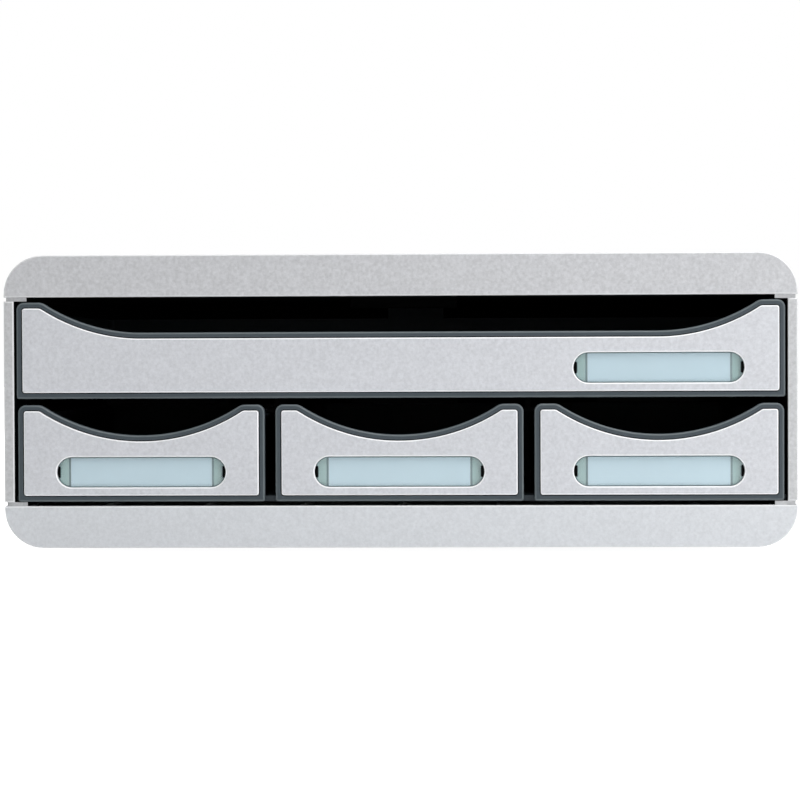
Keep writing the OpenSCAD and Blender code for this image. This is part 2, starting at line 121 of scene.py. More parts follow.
# Soft lights: name, place, target, width, height and power
SOFTBOXES = (
    ("Key", (0.8, -0.7, 0.4), (0, -0.1, 0.07), 1.0, 0.8, 4.4),
    ("Overhead", (0.35, -0.35, 1.2), (0, -0.1, 0.07), 1.2, 0.9, 15.7),
    ("Fill", (-1.1, 0.9, 0.5), (0, 0.1, 0.07), 1.4, 0.9, 6.0),
)

# The surroundings' strength as a light, the floor's own white, the part of it that a gloss sees,
# and the floor's width
WORLD_LIGHT = 0.2
FLOOR_LIFT = 0.98
FLOOR_GLOSS = 0.1
FLOOR_SIZE = 12.0


# Sizes and colours


def length(name, text, mm):
    """A size for the panel, written in millimetres and kept in metres"""
    return FloatProperty(name=name, description=text, default=mm * MM, min=0.0, unit="LENGTH", precision=4)


def colour(name, text, red, green, blue):
    """A colour for the panel, written in display values from 0 to 255 and kept as linear light"""
    display = [value / 255 for value in (red, green, blue)]
    linear = [v / 12.92 if v <= 0.04045 else ((v + 0.055) / 1.055) ** 2.4 for v in display]
    return FloatVectorProperty(
        name=name, description=text, default=linear + [1.0], size=4, min=0.0, max=1.0, subtype="COLOR"
    )


class DrawerUnitSizes(bpy.types.PropertyGroup):
    """Sizes of the drawers' mouldings and of the rounded edges"""

    front_t: length("Front thickness", "From the rim to a front's inner face", 4.2)
    rim: length("Rim", "Rim's width at a front's sides and foot", 2.3)
    rim_top: length("Top rim", "Rim's width at the top and the scoop", 2.3)
    top_band: length("Top band", "From a facing's solid up to a front's top edge", 3.0)
    wide_drop: length("Wide drop", "How far the wide front ends below its solid", 0.3)
    front_trim: length("Front trim", "How far a front's sides stay inside its solid", 0.05)
    recess: length("Recess", "Depth of the recess that holds a facing", 2.2)
    facing_gap: length("Facing gap", "Gap between a facing and the rim round it", 0.4)
    front_corner: length("Front corner", "Radius of a front's upper corners", 3.5)
    front_foot: length("Front foot corner", "Radius of a front's lower corners", 1.0)
    facing_corner: length("Facing corner", "Radius of a facing's lower corners", 1.5)
    scoop_depth: length("Scoop depth", "Scoop's depth below a front's top edge", 13.7)
    small_ear: length("Small ear", "Flat top beside a small drawer's scoop", 10.5)
    wide_ear: length("Wide ear", "Flat top beside the wide drawer's scoop", 11.5)
    scoop_ease: length("Scoop ease", "Radius between the scoop and the flat top", 5.0)
    tray_wall: length("Tray wall", "Thickness of a tray's walls and floor", 1.8)
    tray_inset: length("Tray inset", "From a front's edge to the tray's side wall", 3.0)
    tray_corner: length("Tray corner", "Radius of a tray's back corners", 5.0)
    tray_lift: length("Tray lift", "Height of a tray's underside above its plate", 1.0)
    run_clear: length("Running clearance", "Clearance under the skids", 0.2)
    lip_w: length("Lip width", "Width of the lip round a tray", 1.9)
    lip_t: length("Lip thickness", "Thickness of that lip", 1.6)
    lip_drop: length("Lip drop", "From a front's top edge down to the lip", 4.6)
    skid_w: length("Skid width", "Width of the skids under a tray", 3.0)
    catch_w: length("Catch width", "Width of the stop catch at a tray's back", 30.0)
    gusset: length("Gusset", "Height of the two gussets behind the catch", 4.0)
    label_l: length("Label length", "Length of a label pocket", 76.0)
    label_clear: length("Label clearance", "Clearance round a label window", 0.2)
    card_corner: length("Card corner", "Radius of a label card's corners", 0.6)
    card_clear: length("Card clearance", "From a card's end to the end of its recess", 0.9)
    notch_h: length("Notch height", "Height of the notch at a label window's tip", 5.2)
    notch_d: length("Notch depth", "Depth of that notch", 1.6)
    notch_r: length("Notch corner", "Radius of the notch's inner corners", 0.6)
    rim_round: length("Rim rounding", "Radius of the rim's outer front edge", 0.8)
    recess_round: length("Recess rounding", "Radius of a facing recess's front edge", 0.15)
    facing_round: length("Facing rounding", "Radius of a facing's front edge", 0.5)
    pocket_round: length("Pocket rounding", "Radius of a label pocket's front edge", 0.55)
    window_round: length("Window rounding", "Radius of a label window's front edge", 0.25)
    window_air: length("Window air", "Air behind a label window", 0.05)
    casing_round: length("Casing rounding", "Radius of the casing's front and back edges", 0.6)
    flange_t: length("Flange thickness", "Thickness of the side panels' flanges", 1.8)
    flange_back: length("Flange setback", "From the casing's front or back to a flange's end", 1.2)
    panel_fit: length("Panel fit", "How far the back panel is grown to shut out light", 0.09)
    foot_round: length("Foot rounding", "Radius of the edge of a foot's sole", 1.2)
    sole_band: length("Sole band", "From a foot's side to its ring groove", 2.2)
    groove_outer: length("Groove's outer slope", "Width of the ring groove's outer slope", 1.2)
    groove_inner: length("Groove's inner slope", "Width of the ring groove's inner slope", 0.4)
    groove_d: length("Groove depth", "Depth of the ring groove", 0.5)
    grain: length("Grain", "Size of the moulds' fine grain", 0.7)


class DrawerUnitColours(bpy.types.PropertyGroup):
    """Colours of the drawer unit's materials"""

    # The covers and side panels are one light grey plastic; their tones differ as painted light, the
    # bottom cover lighter and the top cover and side panels darker
    top_cover: colour("Top cover", "Top cover", 199, 200, 203)
    bottom_cover: colour("Bottom cover", "Bottom cover", 212, 215, 219)
    side_panel: colour("Side panels", "Side panels", 197, 198, 200)
    facing: colour("Facing", "Facings of the drawers", 208, 210, 215)
    slate: colour("Slate", "Trays and their rims", 62, 71, 77)
    # Near-black plastic, made darker still as painted shade inside the casing
    inner: colour("Inner frame", "Plates, dividers and back panel", 9, 9, 10)
    # Painted shade: the pocket floor is darker and grey-green for its shade and the window's tint
    pocket_shade: colour("Pocket floor", "Floor of the label pockets", 156, 179, 178)
    card: colour("Card", "Blank label cards", 199, 214, 225)
    window: colour("Window", "Tint of the clear label windows", 249, 253, 253)
    # Painted shade on the windows' cut edges
    window_edge_shade: colour("Window edge", "Cut edges of the label windows", 120, 138, 142)
    foot: colour("Feet", "Rubber feet", 52, 54, 57)
    floor: colour("Floor", "Floor under the unit", 242, 242, 242)


def sizes():
    """The sizes that the panel shows"""
    return bpy.context.scene.drawer_unit_sizes


def colours():
    """The colours that the panel shows"""
    return bpy.context.scene.drawer_unit_colours


# Modelling helpers


def pick(piece=None):
    """Leaves only this piece selected and active, or nothing selected"""
    bpy.ops.object.select_all(action="DESELECT")
    if piece:
        piece.select_set(True)
        bpy.context.view_layer.objects.active = piece


@contextlib.contextmanager
def editing(piece):
    """Edit mode on one piece"""
    pick(piece)
    bpy.ops.object.mode_set(mode="EDIT")
    yield
    bpy.ops.object.mode_set(mode="OBJECT")


def select(piece, kind, test):
    """In edit mode, selects the vertices, edges or faces whose place passes the test"""
    mesh = bmesh.from_edit_mesh(piece.data)
    parts = {"VERT": mesh.verts, "EDGE": mesh.edges, "FACE": mesh.faces}[kind]
    passed = [part for part in parts if test(part)]
    bpy.ops.mesh.select_mode(type=kind)
    bpy.ops.mesh.select_all(action="DESELECT")
    for part in passed:
        part.select_set(True)
    mesh.select_flush_mode()
    bmesh.update_edit_mesh(piece.data)


def middle(edge):
    """Middle of an edge"""
    return (edge.verts[0].co + edge.verts[1].co) / 2


def runs_along(edge, axis):
    """Whether an edge runs along X, Y or Z, which are 0, 1 and 2"""
    way = edge.verts[1].co - edge.verts[0].co
    return abs(way[axis]) > ALONG * way.length


def near(value, target):
    """Whether a place is at the target"""
    return abs(value - target) < NEAR


def lies_in(edge, axis, place):
    """Whether both ends of an edge lie at a place along an axis"""
    return all(near(vertex.co[axis], place) for vertex in edge.verts)


def add_object(name, data):
    """A new object in the scene"""
    thing = bpy.data.objects.new(name, data)
    bpy.context.scene.collection.objects.link(thing)
    return thing


def is_sharp(edge):
    """Whether the faces at an edge meet sharply"""
    return edge.calc_face_angle(0.0) > SHARP_ANGLE


def select_all():
    """In edit mode, selects everything"""
    bpy.ops.mesh.select_all(action="SELECT")


def extrude(*way):
    """In edit mode, extrudes what is selected along a way"""
    bpy.ops.mesh.extrude_region_move(TRANSFORM_OT_translate={"value": way})


def settle(name, **placing):
    """Names the newest piece and puts its place in its mesh"""
    piece = bpy.context.object
    piece.name = piece.data.name = name
    for key, value in placing.items():
        setattr(piece, key, value)
    bpy.ops.object.transform_apply(location=True, rotation=True, scale=True)
    return piece


def add_box(name, low, high):
    """A cube between two corners, with its place in its mesh"""
    low, high = Vector(low), Vector(high)
    pick()
    bpy.ops.mesh.primitive_cube_add(size=1, location=(low + high) / 2, scale=high - low)
    return settle(name)


def bevel(piece, radius, test, steps, highlighted=False):
    """Rounds the edges that pass the test, and may mark the new slanting faces for the painted edge
    highlight
    """
    with editing(piece):
        select(piece, "EDGE", test)
        bpy.ops.mesh.bevel(offset=radius, segments=steps, affect="EDGES")
        # The marked faces are painted lighter as a highlight
        if highlighted:
            mesh = bmesh.from_edit_mesh(piece.data)
            layers = mesh.faces.layers.float
            mark = layers.get("edge") or layers.new("edge")
            for face in mesh.faces:
                if face.select and max(abs(part) for part in face.normal) < ALONG:
                    face[mark] = 1.0
            bmesh.update_edit_mesh(piece.data)


def combine(piece, operation, *tools):
    """Cuts the tools out of the piece, or adds them to it, and removes them"""
    for tool in tools:
        modifier = piece.modifiers.new(operation.title(), "BOOLEAN")
        modifier.operation, modifier.solver, modifier.object = operation, "EXACT", tool
        pick(piece)
        bpy.ops.object.modifier_apply(modifier=modifier.name)
        bpy.data.objects.remove(tool)


def finish(piece, body, slot, *replaced):
    """Smooth shading with flat faces kept flat, the piece's body, and its CAD node hidden. The slot is not
    used.
    """
    pick(piece)
    bpy.ops.object.shade_smooth_by_angle(angle=SMOOTH_ANGLE)
    bpy.ops.object.modifier_add(type="WEIGHTED_NORMAL")
    weighted = piece.modifiers[-1]
    weighted.keep_sharp = True
    bpy.ops.object.modifier_apply(modifier=weighted.name)
    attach(piece, body)
    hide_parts(*replaced)


def dress(piece, name, other=None, where=None):
    """Gives a piece its material, and another one to the faces that pass the test"""
    piece.data.materials.clear()
    piece.data.materials.append(material(name))
    if other:
        piece.data.materials.append(material(other))
        for face in piece.data.polygons:
            face.material_index = int(where(face))


# Shader node groups

GREY = (0.5, 0.5, 0.5, 1.0)


def new_group(name, inputs, outputs):
    """A shader node group, the piece's own coordinates in it, its inputs and its outputs"""
    group = bpy.data.node_groups.new(name, "ShaderNodeTree")
    for way, sockets in (("INPUT", inputs), ("OUTPUT", outputs)):
        for label, default in sockets.items():
            kind = "NodeSocketColor" if isinstance(default, tuple) else "NodeSocketFloat"
            socket = group.interface.new_socket(label, in_out=way, socket_type=kind)
            socket.default_value = default
    place = add_node(group, "TexCoord").outputs["Object"]
    given, results = (group.nodes.new("NodeGroup" + way) for way in ("Input", "Output"))
    return group, place, given.outputs, results.inputs


def add_node(tree, kind, **settings):
    """A node with its settings"""
    node = tree.nodes.new("ShaderNode" + kind)
    for key, value in settings.items():
        setattr(node, key, value)
    return node


def feed(tree, socket, value):
    """Links a socket to another one, or sets it to a value"""
    if isinstance(value, bpy.types.NodeSocket):
        tree.links.new(value, socket)
    else:
        socket.default_value = value


def feed_all(tree, sockets, **values):
    """Feeds sockets by name, with _ for a space"""
    for name, value in values.items():
        feed(tree, sockets[name.replace("_", " ")], value)


def math_node(tree, operation, first, second):
    """A Math node between two sockets or numbers, and its result"""
    node = add_node(tree, "Math", operation=operation)
    feed(tree, node.inputs[0], first)
    feed(tree, node.inputs[1], second)
    return node.outputs[0]


def swing(tree, value, centre, amount):
    """A value's distance from its centre, times an amount"""
    return math_node(tree, "MULTIPLY", math_node(tree, "SUBTRACT", value, centre), amount)


def scale_colour(tree, colour, tone):
    """A colour times a number, and its result"""
    scaled = add_node(tree, "VectorMath", operation="SCALE")
    feed_all(tree, scaled.inputs, Vector=colour, Scale=tone)
    return scaled.outputs[0]


def mix(tree, share, first, second, kind):
    """A Mix node for numbers or colours, which are FLOAT and RGBA, and its result"""
    node = add_node(tree, "Mix", data_type=kind)
    start = {"FLOAT": 2, "RGBA": 6}[kind]
    for index, value in ((0, share), (start, first), (start + 1, second)):
        tree.links.new(value, node.inputs[index])
    return node.outputs[{"FLOAT": 0, "RGBA": 2}[kind]]


def noise(tree, place, scale, detail, roughness):
    """A noise from 0 to 1 on the piece's own coordinates"""
    node = add_node(tree, "TexNoise")
    feed_all(tree, node.inputs, Vector=place, Scale=scale, Detail=detail, Roughness=roughness)
    return node.outputs["Fac"]


def grain_group():
    """The grain of a spark-eroded mould: fine pits, with a faint cloudiness in tone and gloss"""
    group, place, given, result = new_group(
        "Mould Grain",
        {"Colour": GREY, "Grain Size": 0.0007, "Tone Shift": 0.2, "Cloudiness": 0.05, "Roughness": 0.5},
        {"Colour": GREY, "Roughness": 0.5, "Height": 0.5},
    )
    fineness = math_node(group, "DIVIDE", 0.5, given["Grain Size"])
    pits = noise(group, place, scale=fineness, detail=2.0, roughness=0.6)
    clouds = noise(group, place, scale=45.0, detail=3.0, roughness=0.5)
    pit_tone = swing(group, pits, 0.5, given["Tone Shift"])
    cloud_tone = swing(group, clouds, 0.5, given["Cloudiness"])
    tone = math_node(group, "ADD", math_node(group, "ADD", pit_tone, cloud_tone), 1.0)
    dulling = math_node(group, "MULTIPLY", cloud_tone, 1.5)
    gloss = math_node(group, "ADD", given["Roughness"], dulling)
    toned = scale_colour(group, given["Colour"], tone)
    feed_all(group, result, Colour=toned, Roughness=gloss, Height=pits)
    return group


def edge_highlight_group():
    """Painted highlight: a lighter colour in patches on the rounded edges, and smoother plastic there"""
    group, place, given, result = new_group(
        "Painted Edge Highlight",
        {"Colour": GREY, "Edge Colour": GREY, "Share": 0.5, "Roughness": 0.5, "Edge Roughness": 0.35},
        {"Colour": GREY, "Roughness": 0.5},
    )
    # Painted highlight: the marked rounded edges are mixed towards a lighter colour, in patches
    mark = add_node(group, "Attribute", attribute_name="edge").outputs["Fac"]
    patches = noise(group, place, scale=220.0, detail=2.0, roughness=0.5)
    spread = math_node(group, "ADD", math_node(group, "MULTIPLY", patches, 0.5), 0.75)
    patchy_mark = math_node(group, "MULTIPLY", mark, spread)
    mask = math_node(group, "MULTIPLY", patchy_mark, given["Share"])
    highlighted = mix(group, mask, given["Colour"], given["Edge Colour"], "RGBA")
    smoother = mix(group, mark, given["Roughness"], given["Edge Roughness"], "FLOAT")
    feed_all(group, result, Colour=highlighted, Roughness=smoother)
    return group


def fibre_group():
    """Short pulp fibres and a slight unevenness, as in uncoated card"""
    group, place, given, result = new_group(
        "Card Fibre", {"Colour": GREY, "Tone Shift": 0.05}, {"Colour": GREY, "Height": 0.5}
    )
    stretched = add_node(group, "Mapping")
    feed_all(group, stretched.inputs, Vector=place, Scale=(0.35, 1.0, 1.0))
    fibres = noise(group, stretched.outputs["Vector"], scale=2600.0, detail=3.0, roughness=0.7)
    uneven = noise(group, place, scale=130.0, detail=2.0, roughness=0.5)
    both = math_node(group, "ADD", fibres, uneven)
    tone = math_node(group, "ADD", swing(group, both, 1.0, given["Tone Shift"]), 1.0)
    feed_all(group, result, Colour=scale_colour(group, given["Colour"], tone), Height=fibres)
    return group


# Materials


def new_material(name, **values):
    """A material with a Principled shader, whose plain values are set on its own sockets"""
    made = bpy.data.materials.new(name)
    made.use_nodes = True
    shader = made.node_tree.nodes["Principled BSDF"]
    feed_all(made.node_tree, shader.inputs, **values)
    return made, made.node_tree, shader


def place_group(tree, name, make, **values):
    """A shared group in a material's tree, made at its first use. Returns its outputs."""
    node = tree.nodes.new("ShaderNodeGroup")
    node.node_tree = bpy.data.node_groups.get(name) or make()
    feed_all(tree, node.inputs, **values)
    return node.outputs


def add_bump(tree, shader, height, distance, strength):
    """A bump of the given depth on the shader's normal"""
    bump = add_node(tree, "Bump")
    feed_all(tree, bump.inputs, Height=height, Distance=distance, Strength=strength)
    feed_all(tree, shader.inputs, Normal=bump.outputs["Normal"])


# Moulded plastics: colour, the painted edge highlight's colour and share, roughness, the rounded
# edges' roughness, depth of the grain in millimetres, how much its pits shift the tone, and specular level
CASING = ((0.86, 0.87, 0.88), 0.6, 0.5, 0.4, 0.06)
PLASTICS = {
    # Light grey, in tones painted as light: the bottom cover lighter, as if lit from the floor below, and
    # the top cover and side panels darker as painted shade
    "Top Cover Plastic": ("top_cover", *CASING, 0.5, 0.3),
    "Bottom Cover Plastic": ("bottom_cover", *CASING, 0.3, 0.3),
    "Side Panel Plastic": ("side_panel", *CASING, 0.5, 0.3),
    # Slightly lighter
    "Facing Plastic": ("facing", (0.97, 0.98, 1.0), 1.0, 0.45, 0.3, 0.05, 0.4, 0.5),
    # Dark slate of the trays and their rims
    "Slate Plastic": ("slate", (0.16, 0.19, 0.2), 0.55, 0.5, 0.35, 0.03, 0.2, 0.35),
    # Near-black of the plates, dividers and back panel, made darker still as painted shade, and also
    # painted as shade on the side panels' inner sides and the trays' recess floors
    "Inner Black And Shade": ("inner", (0.01, 0.01, 0.011), 0.3, 0.8, 0.7, 0.05, 0.2, 0.1),
    # Smooth and grey-green, painted darker as the pocket's shade and the tint of the window over it
    "Pocket Floor Shade": ("pocket_shade", (0.4, 0.5, 0.49), 0.3, 0.3, 0.25, 0.01, 0.04, 0.5),
    # Painted shade: dark, for the light that the clear plastic leads away from its edges
    "Window Edge Shade": ("window_edge_shade", (0.2, 0.26, 0.27), 0.0, 0.25, 0.2, 0.01, 0.04, 0.5),
    # Dull
    "Foot Rubber": ("foot", (0.06, 0.06, 0.065), 0.5, 0.8, 0.75, 0.08, 0.2, 0.5),
}


def moulded_plastic(name):
    """Moulded plastic with mould grain and a painted highlight on its rounded edges, as the table says"""
    base, edge, edge_share, roughness, edge_roughness, depth, tone, specular = PLASTICS[name]
    made, tree, shader = new_material(name, IOR=1.5, Specular_IOR_Level=specular)
    grain = place_group(
        tree, "Mould Grain", grain_group, Colour=getattr(colours(), base),
        Grain_Size=sizes().grain, Tone_Shift=tone, Cloudiness=0.05, Roughness=roughness,
    )
    highlighted = place_group(
        tree, "Painted Edge Highlight", edge_highlight_group, Colour=grain["Colour"], Roughness=grain["Roughness"],
        Edge_Colour=(*edge, 1.0), Share=edge_share, Edge_Roughness=edge_roughness,
    )
    feed_all(tree, shader.inputs, Base_Color=highlighted["Colour"], Roughness=highlighted["Roughness"])
    add_bump(tree, shader, grain["Height"], depth * MM, strength=0.6)
    return made


def card_paper(name):
    """Pale blank card"""
    made, tree, shader = new_material(name, Roughness=0.85)
    fibre = place_group(tree, "Card Fibre", fibre_group, Colour=colours().card, Tone_Shift=0.06)
    feed_all(tree, shader.inputs, Base_Color=fibre["Colour"])
    add_bump(tree, shader, fibre["Height"], distance=0.02 * MM, strength=0.4)
    return made


def show(tree, node, first, second):
    """Puts a mix or a sum of two shaders on the material's surface"""
    inputs = [socket for socket in node.inputs if socket.type == "SHADER"]
    for shader, socket in zip((first, second), inputs):
        tree.links.new(shader.outputs[0], socket)
    feed_all(tree, tree.nodes["Material Output"].inputs, Surface=node.outputs[0])


def clear_plastic(name):
    """Clear, faintly tinted plastic of the label windows, which lets light pass to the card"""
    tint = colours().window
    made, tree, shader = new_material(
        name, Base_Color=tint, Roughness=0.04, IOR=1.49, Transmission_Weight=1.0
    )
    light = add_node(tree, "LightPath").outputs
    passing = math_node(tree, "MAXIMUM", light["Is Shadow Ray"], light["Is Diffuse Ray"])
    either, clear = add_node(tree, "MixShader"), add_node(tree, "BsdfTransparent")
    feed_all(tree, either.inputs, Fac=passing)
    feed_all(tree, clear.inputs, Color=tint)
    show(tree, either, shader, clear)
    return made


def seen_directly(tree, gloss):
    """1 for a ray from the camera or a clear piece, this share for one from a gloss, or else 0"""
    light = add_node(tree, "LightPath").outputs
    seen = math_node(tree, "MAXIMUM", light["Is Camera Ray"], light["Is Transmission Ray"])
    glossy = math_node(tree, "MULTIPLY", light["Is Glossy Ray"], gloss)
    return math_node(tree, "MAXIMUM", seen, glossy)


def pale_floor(name):
    """Pale floor that shows as white, with a part of the unit's shadow kept"""
    made, tree, shader = new_material(
        name, Base_Color=colours().floor, Roughness=0.9, Specular_IOR_Level=0.0
    )
    white = add_node(tree, "Emission")
    lift = math_node(tree, "MULTIPLY", seen_directly(tree, FLOOR_GLOSS), FLOOR_LIFT)
    feed_all(tree, white.inputs, Strength=lift)
    show(tree, add_node(tree, "AddShader"), shader, white)
    return made


def material(name):
    """A material by name, made the first time that a piece asks for it"""
    others = {"Label Card": card_paper, "Label Window": clear_plastic, "Floor": pale_floor}
    return bpy.data.materials.get(name) or others.get(name, moulded_plastic)(name)


# Casing


def merged_copy(node):
    """A new piece with a node's shape, its loose triangles merged into whole faces"""
    piece = add_object(f"{node}_piece", frame["nodes"][node].data.copy())
    with editing(piece):
        select_all()
        bpy.ops.mesh.remove_doubles(threshold=MERGE)
        bpy.ops.mesh.dissolve_limited(angle_limit=FLAT_ANGLE)
    pick(piece)
    bpy.ops.mesh.customdata_custom_splitnormals_clear()
    return piece


def round_ends(piece):
    """Rounds the outline of a piece where it meets the casing's front and back"""

    def on_outline(edge):
        """Whether an edge is a sharp one of the casing's front or back"""
        return is_sharp(edge) and any(lies_in(edge, 1, end) for end in (cad_low.y, cad_high.y))

    bevel(piece, sizes().casing_round, on_outline, steps=3, highlighted=True)


class DRAWER_UNIT_OT_covers(bpy.types.Operator):
    """Round the front and back edges of the two covers"""

    bl_idname = "drawer_unit.covers"
    bl_label = "Covers"

    def execute(self, context):
        for name in ("top_cover", "bottom_cover"):
            piece = merged_copy(name)
            round_ends(piece)
            # Each cover's own tone is painted light: lighter at the bottom, darker at the top
            dress(piece, f"{name.replace('_', ' ').title()} Plastic")
            finish(piece, HOUSING, "casing_shell", name)
        return {"FINISHED"}


def lies_within(face):
    """Whether a face of a side panel is on its inner side, between the rounded edges, where shade is
    painted
    """
    skin_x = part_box("back_panel")[1].x + sizes().run_clear + NEAR
    ends = max(sizes().casing_round, sizes().flange_back) + NEAR
    return abs(face.center.x) < skin_x and cad_low.y + ends < face.center.y < cad_high.y - ends


def set_back_flanges(piece):
    """Cuts the flanges' ends back a little from the casing's front and back"""
    size = sizes()
    middle_x = sum(corner[0] for corner in piece.bound_box) / len(piece.bound_box)
    reach = cad_high.x / 4
    for low_z in (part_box("bottom_cover")[1].z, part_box("top_cover")[0].z - size.flange_t):
        for end in (cad_low.y, cad_high.y):
            low = (middle_x - reach, end - size.flange_back, low_z)
            high = (middle_x + reach, end + size.flange_back, low_z + size.flange_t)
            combine(piece, "DIFFERENCE", add_box("flange_tool", low, high))


class DRAWER_UNIT_OT_side_panels(bpy.types.Operator):
    """Round the front and back edges of the two side panels, and paint their inner sides near-black as
    shade
    """

    bl_idname = "drawer_unit.side_panels"
    bl_label = "Side Panels"

    def execute(self, context):
        for name in ("left_side_panel", "right_side_panel"):
            piece = merged_copy(name)
            set_back_flanges(piece)
            round_ends(piece)
            # Painted shade: the inner sides take the near-black material
            dress(piece, "Side Panel Plastic", "Inner Black And Shade", lies_within)
            finish(piece, HOUSING, "casing_shell", name)
        return {"FINISHED"}


class DRAWER_UNIT_OT_inner_frame(bpy.types.Operator):
    """Finish the plates and dividers in near-black, darkened as painted shade, and grow the back panel
    until it shuts out the light
    """

    bl_idname = "drawer_unit.inner_frame"
    bl_label = "Inner Frame"

    def execute(self, context):
        panel = merged_copy("back_panel")
        with editing(panel):
            select_all()
            bpy.ops.transform.shrink_fatten(value=sizes().panel_fit, use_even_offset=True)
        dress(panel, "Inner Black And Shade")
        finish(panel, HOUSING, "inner_frame", "back_panel")
        for name in ("ceiling_plate", "middle_shelf", "left_divider", "right_divider"):
            dress(frame["nodes"][name], "Inner Black And Shade")
        dress(frame["nodes"]["floor_plate"], "Slate Plastic")
        return {"FINISHED"}


def model_foot(name):
    """A foot with a ring groove in its sole"""
    size = sizes()
    low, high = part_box(name)
    centre, radius = (low + high) / 2, (high.x - low.x) / 2

    def is_outline(edge):
        """Whether an edge is a part of the sole's outline"""
        reaches = all(near((vertex.co - centre).xy.length, radius) for vertex in edge.verts)
        return reaches and lies_in(edge, 2, low.z)

    pick()
    bpy.ops.mesh.primitive_cylinder_add(
        vertices=64, radius=radius, depth=high.z - low.z, location=centre
    )
    foot = settle(f"{name}_piece")
    with editing(foot):
        select(foot, "FACE", lambda face: face.normal.z < -LOOKS)
        bpy.ops.mesh.inset(thickness=size.sole_band)
        bpy.ops.mesh.inset(thickness=size.groove_outer, depth=-size.groove_d)
        bpy.ops.mesh.inset(thickness=size.groove_inner, depth=size.groove_d)
    bevel(foot, size.foot_round, is_outline, steps=5)
    return foot


class DRAWER_UNIT_OT_feet(bpy.types.Operator):
    """Model the four rubber feet"""

    bl_idname = "drawer_unit.feet"
    bl_label = "Feet"

    def execute(self, context):
        for name in ("front_left_foot", "front_right_foot", "back_left_foot", "back_right_foot"):
            foot = model_foot(name)
            dress(foot, "Foot Rubber")
            finish(foot, HOUSING, "foot_rubber", name)
        return {"FINISHED"}


# Drawers


class Front:
    """Places of one drawer's front, tray and label, worked out from the frame and the sizes"""

    def __init__(self, name):
        size = sizes()
        tray_low, tray_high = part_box(f"{name}_tray")
        facing_low, facing_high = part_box(f"{name}_facing")
        self.name = name
        self.centre_x = (tray_low.x + tray_high.x) / 2
        self.half = (tray_high.x - tray_low.x) / 2 - size.front_trim
        top = facing_high.z + size.top_band - (size.wide_drop if name == "wide" else 0.0)
        self.low = Vector((self.centre_x - self.half, tray_low.y, tray_low.z))
        self.high = Vector((self.centre_x + self.half, tray_low.y + size.front_t, top))
        self.front_y = facing_low.y
        plate = "middle_shelf" if name == "wide" else "floor_plate"
        self.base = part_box(plate)[1].z + size.tray_lift
        self.lip_top = self.high.z - size.lip_drop
        self.back_y = tray_high.y - size.lip_w
        self.catch_top = tray_high.z
        small_low, small_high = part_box("middle_tray")
        self.small_half = (small_high.x - small_low.x) / 2
        self.scoop_half = self.small_half - size.small_ear
        self.scoop_r = (self.scoop_half**2 + size.scoop_depth**2) / (2 * size.scoop_depth)
        self.scoop_angle = math.asin(self.scoop_half / self.scoop_r)
        self.flat = self.half - size.wide_ear - self.scoop_half if name == "wide" else 0.0

    def add_scoop_tool(self):
        """The solid that cuts the scoop: a face spun down, drawn along and spun up again"""
        angle = self.scoop_angle + SCOOP_OVERCUT / self.scoop_r
        steps = math.ceil(self.scoop_angle * self.scoop_r / ARC_STEP)
        height = self.high.z - sizes().scoop_depth + self.scoop_r
        left = Vector((self.centre_x - self.flat, 0, height))
        right = Vector((self.centre_x + self.flat, 0, height))
        inward = Vector((math.sin(angle), 0, math.cos(angle)))
        middle_y = (self.low.y + self.high.y) / 2
        depth = 2 * sizes().scoop_depth
        pick()
        bpy.ops.mesh.primitive_plane_add(size=1)
        tool = settle(
            f"{self.name}_scoop_tool",
            scale=(depth, self.high.y - self.low.y + 2 * SCOOP_OVERCUT, 1),
            rotation_euler=(0, math.pi / 2 + angle, 0),
            location=left - inward * (self.scoop_r - depth / 2) + Vector((0, middle_y, 0)),
        )
        with editing(tool):
            select_all()
            bpy.ops.mesh.spin(steps=steps, angle=angle, center=left, axis=(0, 1, 0))
            if self.flat > 0:
                extrude(*(right - left))
            bpy.ops.mesh.spin(steps=steps, angle=angle, center=right, axis=(0, 1, 0))
            select_all()
            bpy.ops.mesh.remove_doubles(threshold=NEAR)
            bpy.ops.mesh.normals_make_consistent(inside=False)
        return tool

    def is_corner(self, edge, inset, z):
        """Whether an edge is a corner of the outline, or of one inset from it, at a height"""
        reach = abs(middle(edge).x - self.centre_x)
        return runs_along(edge, 1) and near(middle(edge).z, z) and near(reach, self.half - inset)

    def is_scoop_corner(self, edge, z):
        """Whether an edge is the corner between the scoop and a flat top, at a height"""
        reach = abs(middle(edge).x - self.centre_x)
        inside = reach < self.half - sizes().small_ear / 2
        return runs_along(edge, 1) and near(middle(edge).z, z) and inside


def tray_tub(front):
    """Open tub of a tray with its outward lip, from a box"""
    size = sizes()
    half = front.half - size.tray_inset
    low_y = front.high.y - size.tray_wall - APART
    lip_foot = front.lip_top - size.lip_t

    def is_back_corner(edge):
        """Whether an edge is one of the tub's upright corners at the back"""
        return runs_along(edge, 2) and near(middle(edge).y, front.back_y)

    def is_lip_face(face):
        """Whether a face of the tub's outer wall is in the band that the lip grows from"""
        upright = abs(face.normal.z) < 1 - LOOKS and face.normal.y > -LOOKS
        return upright and face.calc_center_median().z > lip_foot

    tub = add_box(
        "tub",
        (front.centre_x - half, low_y, front.base),
        (front.centre_x + half, front.back_y, front.lip_top),
    )
    bevel(tub, size.tray_corner, is_back_corner, steps=8)
    with editing(tub):
        select_all()
        bpy.ops.mesh.bisect(plane_co=(0, 0, lip_foot), plane_no=(0, 0, 1))
        select(tub, "FACE", is_lip_face)
        bpy.ops.mesh.extrude_region_shrink_fatten(TRANSFORM_OT_shrink_fatten={"value": size.lip_w})
        select(tub, "FACE", lambda face: face.normal.z > LOOKS and face.calc_area() > half * half)
        bpy.ops.mesh.inset(thickness=size.tray_wall)
        extrude(0, 0, front.base + size.tray_wall - front.lip_top)
    return tub


